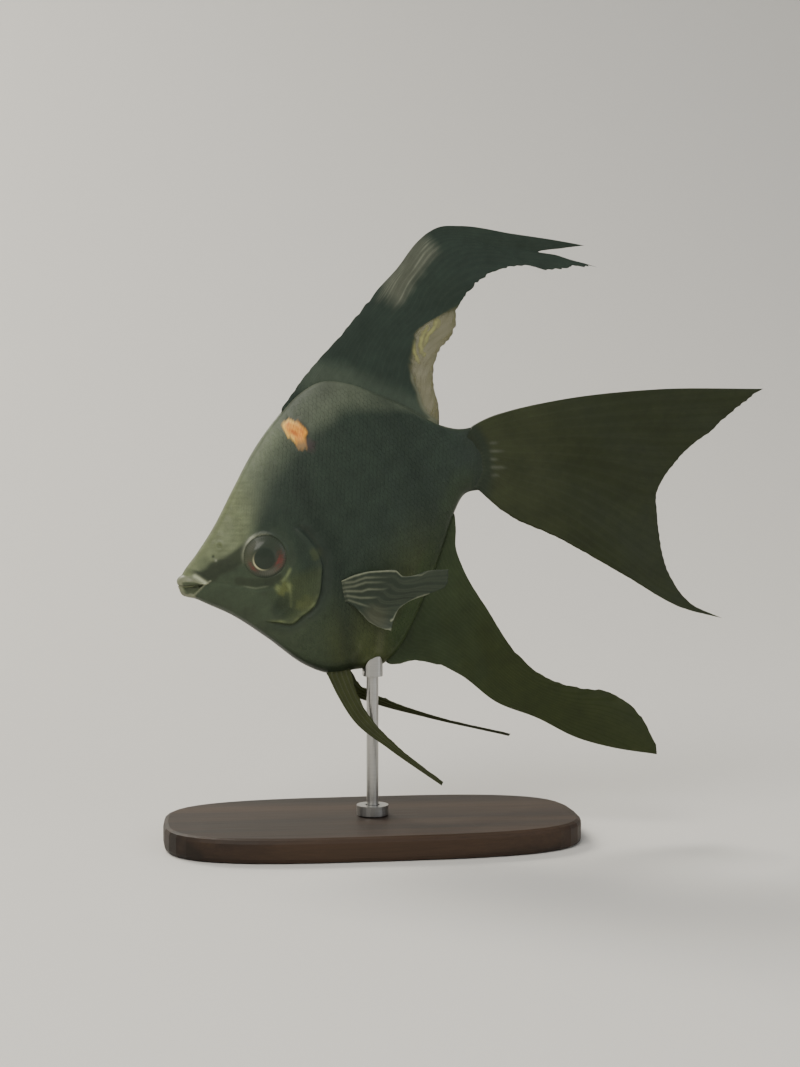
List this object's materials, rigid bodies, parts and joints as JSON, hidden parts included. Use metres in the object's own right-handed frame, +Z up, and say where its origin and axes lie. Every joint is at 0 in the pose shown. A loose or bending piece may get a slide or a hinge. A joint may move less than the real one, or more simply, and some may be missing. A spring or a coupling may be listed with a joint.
{
  "type": "freshwater angelfish on a stand",
  "caption": "Life-size still model of a black veil-finned freshwater angelfish, swimming nose-down, held by a rod on a flat oval-cornered display base.",
  "frame": {"origin": "centre of the display base's flat underside, on the axis of the rod", "axes": "+Z up, -X towards the fish's snout, +Y to its right flank"},
  "size_m": [0.1545, 0.052, 0.1533],
  "materials": {
    "fish_skin": "moist olive-black scaled skin",
    "fish_lips": "soft moist pale olive skin",
    "fish_gill": "smooth olive skin over bone",
    "fish_eye": "clear wet gloss",
    "fish_fin": "thin satin fin membrane with rays",
    "fish_clear_fin": "thin clear fin membrane with pale rays",
    "stand_wood": "dark stained satin hardwood",
    "stand_steel": "fine brushed"
  },
  "bodies": {
    "root": {"head": "fish_skin", "upper_jaw": "fish_lips", "lower_jaw": "fish_lips", "gill_cover_left": "fish_gill", "gill_cover_right": "fish_gill", "trunk": "fish_skin", "tail_stalk": "fish_skin", "eye_left": "fish_eye", "eye_right": "fish_eye", "dorsal_fin": "fish_fin", "anal_fin": "fish_fin", "caudal_fin": "fish_fin", "pectoral_fin_left": "fish_clear_fin", "pectoral_fin_right": "fish_clear_fin", "pelvic_fin_left": "fish_fin", "pelvic_fin_right": "fish_fin", "stand_base": "stand_wood", "stand_rod": "stand_steel", "stand_collar": "stand_steel", "stand_saddle": "stand_steel"}
  },
  "joints": []
}
